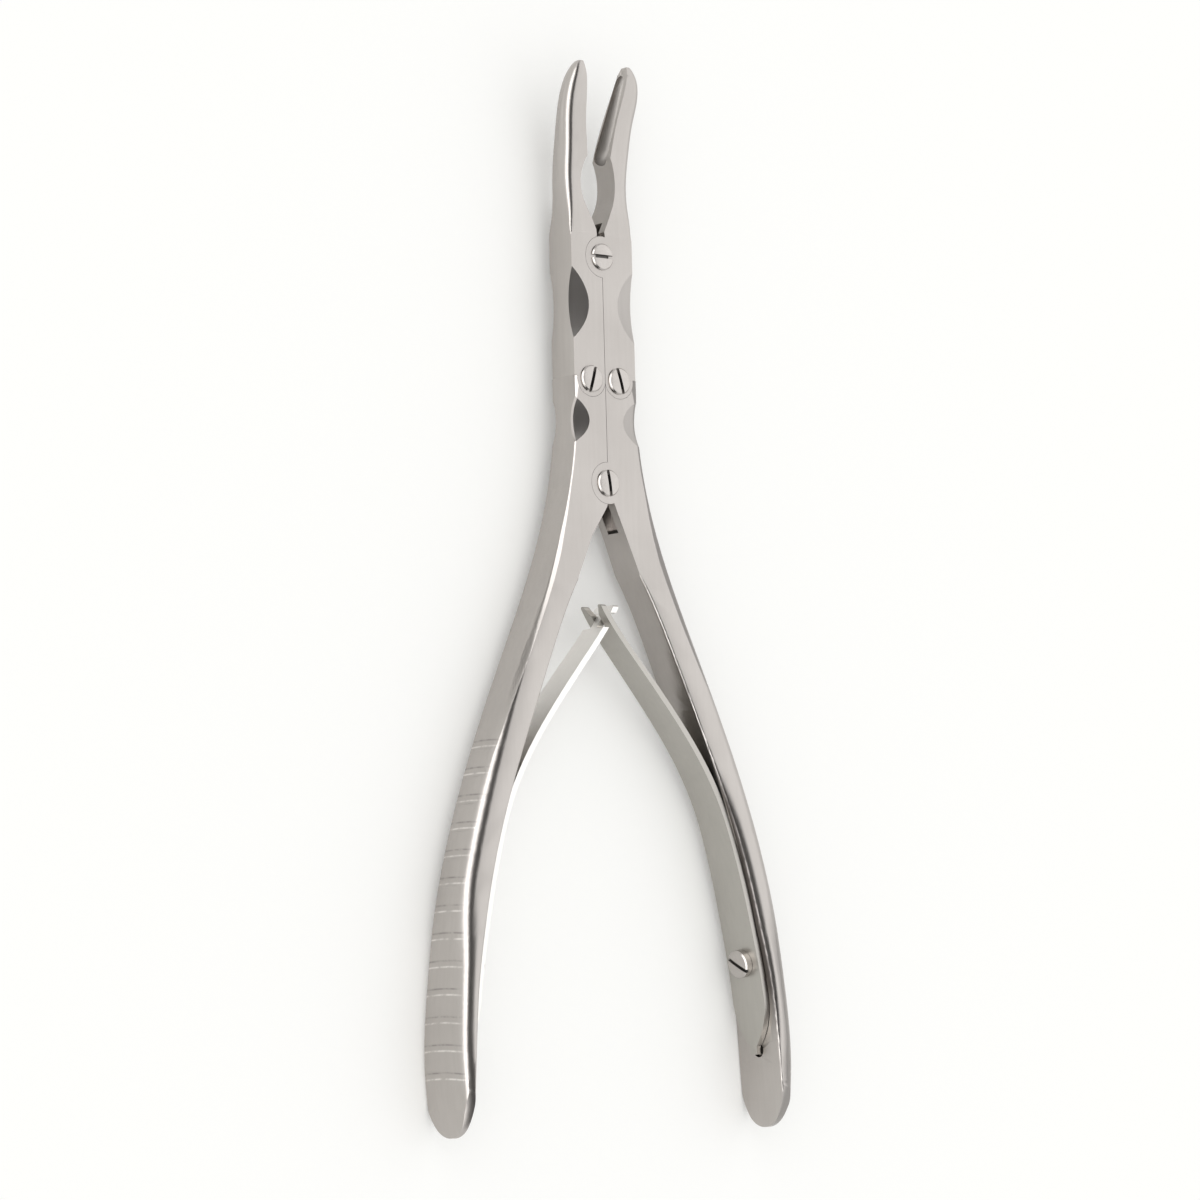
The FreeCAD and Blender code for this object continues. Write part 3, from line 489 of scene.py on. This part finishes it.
# Places along the jaw where its cup begins, gets deeper and opens towards the tip
cup = {
    "startsAt": 0.075,
    "deepFrom": 0.0764,
    "deepTo": 0.0790,
    "extraDepth": 0.5,
    "frontStarts": 0.0860,
    "frontEnds": 0.0895,
    "frontMove": 0.0010,
    "rimFacing": 0.9,
    "leastFacing": 0.03,
    "leastDepth": 0.00005,
}
# The round nose of a jaw, whose middle rises with the curve of the jaw
nose = {
    "starts": 0.0893,
    "ends": 0.0931,
    "top": 0.0925,
    "middle": 0.0102,
    "middleSlope": 0.18,
    "cutStep": 0.0004,
}


def ramp(value, start, end):
    return min(max((value - start) / (end - start), 0.0), 1.0)


# The cup gets deeper in proportion to its depth below the flat rim that bites.
# The faces of the hollow are marked 1, for the cup steel with its painted shade.
def deepenCup(piece, side):
    mesh = bmesh.new()
    mesh.from_mesh(piece.data)
    inward = Vector((-side, 0, 0))
    facing = [face for face in mesh.faces if face.normal.dot(inward) > cup["rimFacing"]
              and face.calc_center_median().y > cup["startsAt"]]
    rim = max(facing, key=lambda face: face.calc_area())
    point, normal = rim.calc_center_median(), rim.normal.copy()
    moved = set()
    for vertex in mesh.verts:
        if vertex.co.y < cup["startsAt"]:
            continue
        depth = (point - vertex.co).dot(normal)
        hollow = all(face.normal.dot(inward) > cup["leastFacing"] for face in vertex.link_faces)
        if hollow and depth > cup["leastDepth"]:
            share = cup["extraDepth"] * ramp(vertex.co.y, cup["deepFrom"], cup["deepTo"])
            vertex.co -= normal * depth * share
            vertex.co.y += cup["frontMove"] * ramp(vertex.co.y, cup["frontStarts"], cup["frontEnds"])
            moved.add(vertex)
    for face in mesh.faces:
        face.material_index = 1 if all(vertex in moved for vertex in face.verts) else 0
    mesh.to_mesh(piece.data)
    mesh.free()


def roundNose(piece):
    cutAcross(piece, nose["starts"], nose["top"] - nose["cutStep"], nose["cutStep"])
    for vertex in piece.data.vertices:
        reach = (vertex.co.y - nose["starts"]) / (nose["ends"] - nose["starts"])
        if reach > 0:
            middle = nose["middle"] + nose["middleSlope"] * (vertex.co.y - nose["top"])
            vertex.co.z = middle + (vertex.co.z - middle) * math.sqrt(1 - min(reach, 1.0) ** 2)


for nodeName in forging["nodes"]:
    piece = mergedCopy(nodeName, nodeName + "Forged")
    if nodeName.endswith("_jaw"):
        deepenCup(piece, -1 if nodeName.startswith("left") else 1)
        roundNose(piece)
    softenEdges(piece, forging["edgeWidth"])
    if nodeName.endswith("_handle"):
        paintPiece(piece, gripPaintedSteel)
    else:
        paintPiece(piece, steels[forging["steel"]], dullShadedCup)
    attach(piece, bodyOf(nodeName))
    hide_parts(nodeName)
    print("forged", nodeName, len(piece.data.polygons), "faces")


# Leaf springs, cut across where they bend between the handle they are screwed to and their free half

leaf = {
    "steel": "spring_steel",
    "edgeWidth": 0.00034,
    "bendRoot": -0.041,
    "bendEnd": -0.026,
    "middleDepth": 0.0056,
    "cutStep": 0.001,
    "cutMargin": 0.004,
}


for side in ("left", "right"):
    nodeName = side + "_spring"
    piece = mergedCopy(nodeName, side + "Leaf")
    firstCut = leaf["bendRoot"] - leaf["cutMargin"]
    lastCut = leaf["bendEnd"] + leaf["cutMargin"]
    cutAcross(piece, firstCut, lastCut, leaf["cutStep"])
    softenEdges(piece, leaf["edgeWidth"])
    # The left leaf takes the lighter steel with its painted sheen
    paintPiece(piece, paintedSheenSpring if side == "left" else steels[leaf["steel"]])
    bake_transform(piece)
    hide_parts(nodeName)
    print("leaf", side, len(piece.data.polygons), "faces")


# Slotted screws. One node tree makes them all: a shank, a domed head and a slot.

screwShape = {
    "Head Radius": 0.00234,
    "Head Height": 0.00055,
    "Rim Bevel": 0.00022,
    "Dome Rise": 0.00012,
    "Shank Radius": 0.00145,
    "Length": 0.00675,
    "Slot Width": 0.00062,
    "Slot Depth": 0.0007,
    "Slot Turn": 0.0,
}
screwMesh = {
    "around": 72,
    "rings": 11,
    "overlap": 0.0002,
    "cutterLength": 3.0,
    "edgeWidth": 0.00005,
    "steel": "screw_steel",
}
# Where the pivot screws stand in the joint, between its back and the tops of their
# heads, and how far each slot is turned in degrees
pivotScrews = {
    "back": 0.0025,
    "top": 0.00925,
    "spots": {
        "jaw_pivot_screw": (0.0, 0.05868, 0.0),
        "right_link_screw": (0.00307, 0.03704, -74.0),
        "left_link_screw": (-0.00307, 0.03704, 74.0),
        "handle_pivot_screw": (0.0, 0.019, -82.0),
    },
}
# The right leaf's screw, from the end of its shank to the top of its head. The left
# one is its mirror.
leafScrew = {
    "foot": (0.0337296, -0.0631293, 0.0056),
    "top": (0.0286149, -0.0641096, 0.0056),
    "turn": -20.0,
    "shape": {"Head Radius": 0.0025, "Head Height": 0.0015, "Shank Radius": 0.0013},
}


def makeScrewTree():
    tree = bpy.data.node_groups.new("slottedScrew", "GeometryNodeTree")
    tree.is_modifier = True
    tree.interface.new_socket("Geometry", in_out="INPUT", socket_type="NodeSocketGeometry")
    for name in screwShape:
        tree.interface.new_socket(name, in_out="INPUT", socket_type="NodeSocketFloat")
    for name in ("Steel", "Slot Shade"):
        tree.interface.new_socket(name, in_out="INPUT", socket_type="NodeSocketMaterial")
    tree.interface.new_socket("Geometry", in_out="OUTPUT", socket_type="NodeSocketGeometry")
    sheet = Sheet(tree)
    names = (*screwShape, "Steel", "Slot Shade")
    given = {name: sheet.node("NodeGroupInput", None, None, name) for name in names}
    headRadius, headHeight = given["Head Radius"], given["Head Height"]
    length = given["Length"]

    # The head is a disc of rings. Its top rings sink into the dome and the rim's bevel.
    disc = sheet.node("GeometryNodeMeshCylinder", {"fill_type": "TRIANGLE_FAN"}, {
        "Vertices": screwMesh["around"], "Side Segments": 1, "Fill Segments": screwMesh["rings"],
        "Radius": headRadius, "Depth": headHeight}, "Mesh")
    position = sheet.node("GeometryNodeInputPosition")
    spot = sheet.node("ShaderNodeSeparateXYZ", None, {"Vector": position}, "X").socket.node.outputs
    x, y, z = (Wire(sheet, socket) for socket in spot)
    distance = (x * x + y * y) ** 0.5
    flat = headRadius - given["Rim Bevel"]
    sink = given["Dome Rise"] * (distance / flat).atMost(1.0) ** 2.0 + (distance - flat).atLeast(0.0)
    domed = sheet.node("GeometryNodeSetPosition", None, {
        "Geometry": disc, "Selection": z.above(0.0), "Offset": sheet.vector(0.0, 0.0, -sink)})
    head = sheet.node("GeometryNodeTransform", None, {
        "Geometry": domed, "Translation": sheet.vector(0.0, 0.0, length - headHeight * 0.5)})

    cutterLength = headRadius * screwMesh["cutterLength"]
    cutter = sheet.node("GeometryNodeMeshCube", None, {
        "Size": sheet.vector(cutterLength, given["Slot Width"], given["Slot Depth"] * 2.0)}, "Mesh")
    cutter = sheet.node("GeometryNodeTransform", None, {
        "Geometry": cutter, "Translation": sheet.vector(0.0, 0.0, length),
        "Rotation": sheet.vector(0.0, 0.0, given["Slot Turn"])})
    # The cutter's material goes to the slot's walls and floor: painted shade
    cutter = sheet.node("GeometryNodeSetMaterial", None, {
        "Geometry": cutter, "Material": given["Slot Shade"]})

    shankLength = length - headHeight + screwMesh["overlap"]
    shank = sheet.node("GeometryNodeMeshCylinder", {"fill_type": "NGON"}, {
        "Vertices": screwMesh["around"], "Side Segments": 1, "Fill Segments": 1,
        "Radius": given["Shank Radius"], "Depth": shankLength}, "Mesh")
    shank = sheet.node("GeometryNodeTransform", None, {
        "Geometry": shank, "Translation": sheet.vector(0.0, 0.0, shankLength * 0.5)})
    whole = sheet.node("GeometryNodeMeshBoolean", {"operation": "UNION", "solver": "EXACT"}, {
        1: [shank, head]}, "Mesh")
    solid = sheet.node("GeometryNodeRealizeInstances", None, {"Geometry": whole})
    steeled = sheet.node("GeometryNodeSetMaterial", None, {
        "Geometry": solid, "Material": given["Steel"]})
    slotted = sheet.node("GeometryNodeMeshBoolean", {"operation": "DIFFERENCE", "solver": "EXACT"}, {
        0: steeled, 1: cutter}, "Mesh")
    output = tree.nodes.new("NodeGroupOutput")
    sheet.plug(slotted, output.inputs["Geometry"])
    return tree


def turnScrew(tree, nodeName, foot, top, slotTurn, shape):
    piece = newPiece(nodeName + "Turned", bmesh.new())
    modifier = piece.modifiers.new("screw", "NODES")
    modifier.node_group = tree
    axis = Vector(top) - Vector(foot)
    values = {**screwShape, **shape, "Length": axis.length, "Slot Turn": math.radians(slotTurn)}
    values["Steel"] = steels[screwMesh["steel"]]
    values["Slot Shade"] = slotShadeSteel
    for socket in tree.interface.items_tree:
        if socket.in_out == "INPUT" and socket.name in values:
            modifier[socket.identifier] = values[socket.name]
    applyModifiers(piece)
    aim = Vector((0, 0, 1)).rotation_difference(axis)
    piece.data.transform(Matrix.Translation(foot) @ aim.to_matrix().to_4x4())
    softenEdges(piece, screwMesh["edgeWidth"])
    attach(piece, bodyOf(nodeName))
    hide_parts(nodeName)
    print("screw", nodeName, len(piece.data.polygons), "faces")


screwTree = makeScrewTree()
for nodeName, (x, y, slotTurn) in pivotScrews["spots"].items():
    turnScrew(screwTree, nodeName, (x, y, pivotScrews["back"]), (x, y, pivotScrews["top"]), slotTurn, {})
for side, nodeName in ((1, "right_spring_screw"), (-1, "left_spring_screw")):
    foot, top = ((side * x, y, z) for x, y, z in (leafScrew["foot"], leafScrew["top"]))
    turnScrew(screwTree, nodeName, foot, top, side * leafScrew["turn"], leafScrew["shape"])


# Floor, light and camera

studio = {
    "floorSize": 6.0,
    "floorDepth": -0.00002,
    "floorColour": (0.88, 0.88, 0.86),
    "floorLift": 0.12,
    "floorRoughness": 0.9,
    "worldColour": (1.0, 1.0, 1.0),
    "worldStrength": 1.0,
    "strip": {"place": (-0.77, 0.0, 0.46), "size": (0.66, 2.4), "watts": 10.5},
    "softbox": {"place": (0.70, 0.1, 0.85), "size": (0.9, 2.4), "watts": 3.4},
    "flag": {"place": (-0.06, 0.0, 0.9), "size": (0.88, 4.0), "colour": (0.02, 0.02, 0.02)},
}


def sheetOf(name, width, length, place):
    mesh = bmesh.new()
    corners = [(x * width / 2, y * length / 2) for x, y in ((-1, -1), (1, -1), (1, 1), (-1, 1))]
    mesh.faces.new([mesh.verts.new((place[0] + x, place[1] + y, place[2])) for x, y in corners])
    piece = newPiece(name, mesh)
    return piece


def makeFloor():
    floor = sheetOf("floor", studio["floorSize"], studio["floorSize"], (0, 0, studio["floorDepth"]))
    finish = Finish("paleFloor")
    finish.give("Base Color", (*studio["floorColour"], 1.0))
    finish.give("Roughness", studio["floorRoughness"])
    finish.give("Specular IOR Level", 0.0)
    names = ("Is Camera Ray", "Is Glossy Ray", "Is Transmission Ray")
    camera, glossy, through = (finish.node("ShaderNodeLightPath", None, None, name) for name in names)
    seen = camera.atLeast(glossy).atLeast(through)
    finish.give("Emission Color", seen.colours((0.0, 0.0, 0.0), (1.0, 1.0, 1.0)))
    finish.give("Emission Strength", studio["floorLift"])
    floor.data.materials.append(finish.material)


# A black flag over the tool, seen by reflections alone, draws the dark lines on its
# rounded corners
def makeFlag():
    flag = studio["flag"]
    piece = sheetOf("flag", *flag["size"], flag["place"])
    finish = Finish("blackFlag")
    finish.give("Base Color", (*flag["colour"], 1.0))
    finish.give("Roughness", 1.0)
    finish.give("Specular IOR Level", 0.0)
    piece.data.materials.append(finish.material)
    piece.visible_camera = False
    piece.visible_diffuse = False
    piece.visible_shadow = False
    piece.visible_transmission = False


# A long white strip low on the left draws the bright lines beside them, and a
# wide soft one on the right lies in the front faces
def makeLamp(name):
    values = studio[name]
    lamp = bpy.data.lights.new(name, "AREA")
    lamp.shape = "RECTANGLE"
    lamp.size, lamp.size_y = values["size"]
    lamp.energy = values["watts"]
    thing = bpy.data.objects.new(name, lamp)
    back = Vector(values["place"]).normalized()
    across = Vector((0, 1, 0)).cross(back).normalized()
    turn = Matrix((across, back.cross(across), back)).transposed()
    thing.matrix_world = Matrix.Translation(values["place"]) @ turn.to_4x4()
    thing.visible_camera = False
    thing.visible_diffuse = False
    bpy.context.scene.collection.objects.link(thing)


# Even white light from all round, at the level that shows a colour as it is written
def makeWorld():
    world = bpy.data.worlds.new("studio")
    bpy.context.scene.world = world
    world.use_nodes = True
    background = world.node_tree.nodes["Background"]
    background.inputs["Color"].default_value = (*studio["worldColour"], 1.0)
    background.inputs["Strength"].default_value = studio["worldStrength"]


# The camera stands where the photograph was taken from
camera = {
    "place": (-0.47567, -0.08333, 0.58924),
    "right": (0.77673, -0.02689, 0.62926),
    "up": (-0.04766, 0.99371, 0.10130),
    "back": (-0.62803, -0.10867, 0.77056),
    "lens": 131.39,
    "sensor": 36.0,
}


def makeCamera():
    data = bpy.data.cameras.new("photoCamera")
    data.lens = camera["lens"]
    data.sensor_width = camera["sensor"]
    data.sensor_fit = "AUTO"
    thing = bpy.data.objects.new("photoCamera", data)
    turn = Matrix((camera["right"], camera["up"], camera["back"])).transposed()
    thing.matrix_world = Matrix.Translation(camera["place"]) @ turn.to_4x4()
    bpy.context.scene.collection.objects.link(thing)
    bpy.context.scene.camera = thing


makeFloor()
makeFlag()
makeLamp("strip")
makeLamp("softbox")
makeWorld()
makeCamera()
bpy.context.scene.view_settings.view_transform = "Standard"
print("studio ready")
